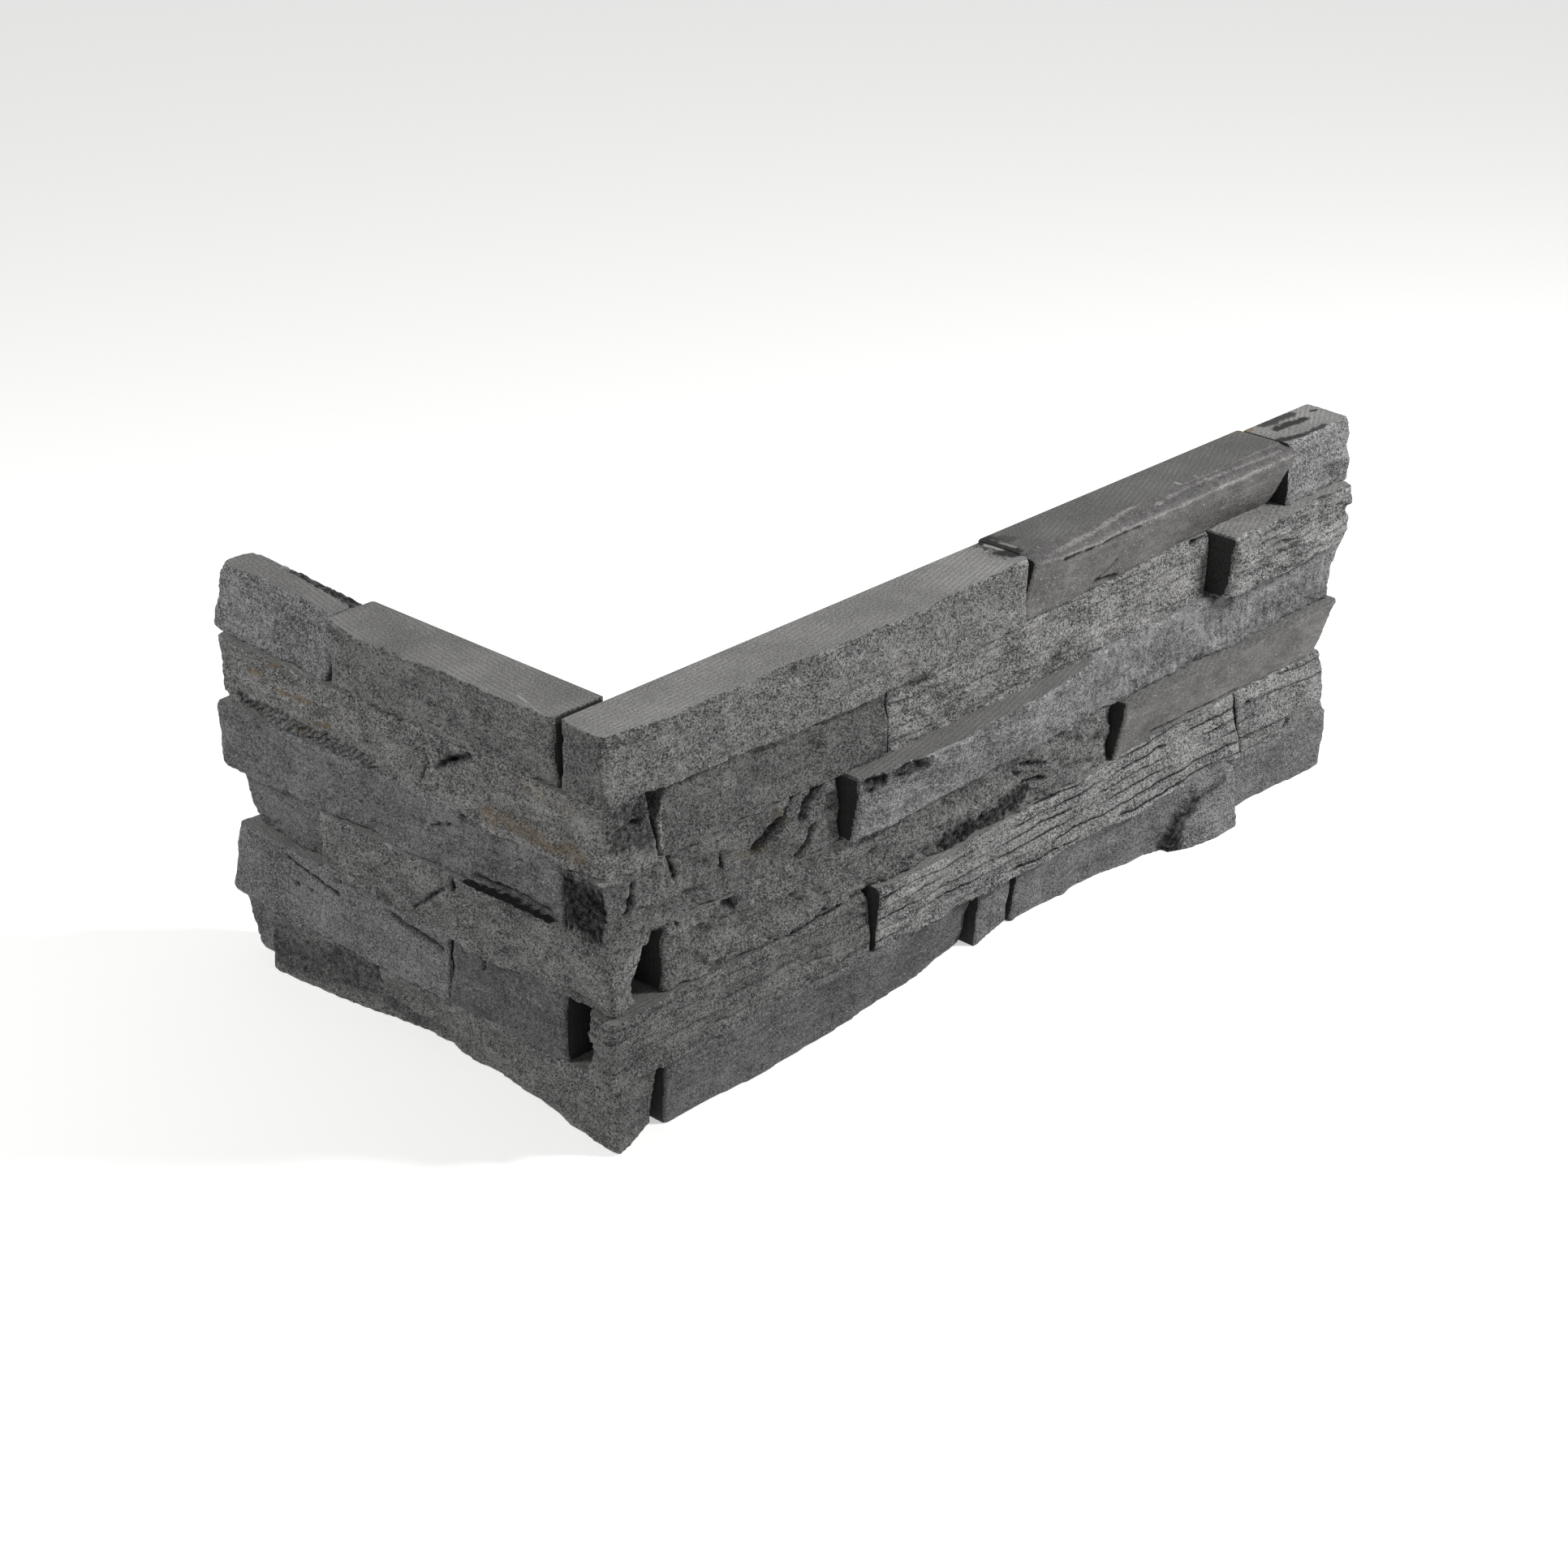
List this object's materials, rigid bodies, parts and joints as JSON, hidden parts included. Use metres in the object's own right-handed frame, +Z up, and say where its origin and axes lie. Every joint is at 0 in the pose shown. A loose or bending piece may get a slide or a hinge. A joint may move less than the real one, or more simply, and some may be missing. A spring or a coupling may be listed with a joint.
{
  "type": "stone cladding corner unit",
  "caption": "L-shaped corner unit of sawn, split-face natural stone strips, stacked in woven courses, that clads an outside wall corner.",
  "frame": {"origin": "foot of the wall's own corner: where the planes of the two legs' sawn backs meet, at the unit's base", "axes": "+X along the long leg, away from the corner; +Y along the short leg, into the building; +Z up the wall"},
  "size_m": [0.4038, 0.2165, 0.15],
  "materials": {
    "grey_stone": "split",
    "dark_stone": "split",
    "brown_stone": "split"
  },
  "bodies": {
    "root": {"course6_corner": "grey_stone", "course6_long1": "brown_stone", "course6_long2": "dark_stone", "course6_short1": "grey_stone", "course6_short2": "dark_stone", "course5_corner": "grey_stone", "course5_long1": "dark_stone", "course5_long2": "grey_stone", "course5_long3": "dark_stone", "course4_corner": "grey_stone", "course4_long1": "dark_stone", "course4_long2": "grey_stone", "course4_short1": "dark_stone", "course3_corner": "grey_stone", "course3_long1": "dark_stone", "course3_long2": "brown_stone", "course3_short1": "dark_stone", "course2_corner": "grey_stone", "course2_long1": "dark_stone", "course2_long2": "grey_stone", "course2_short1": "dark_stone", "course2_short2": "dark_stone", "course1_corner": "grey_stone", "course1_long1": "dark_stone", "course1_long2": "dark_stone", "course1_long3": "grey_stone", "course1_long4": "dark_stone", "course1_short1": "dark_stone"}
  },
  "joints": []
}
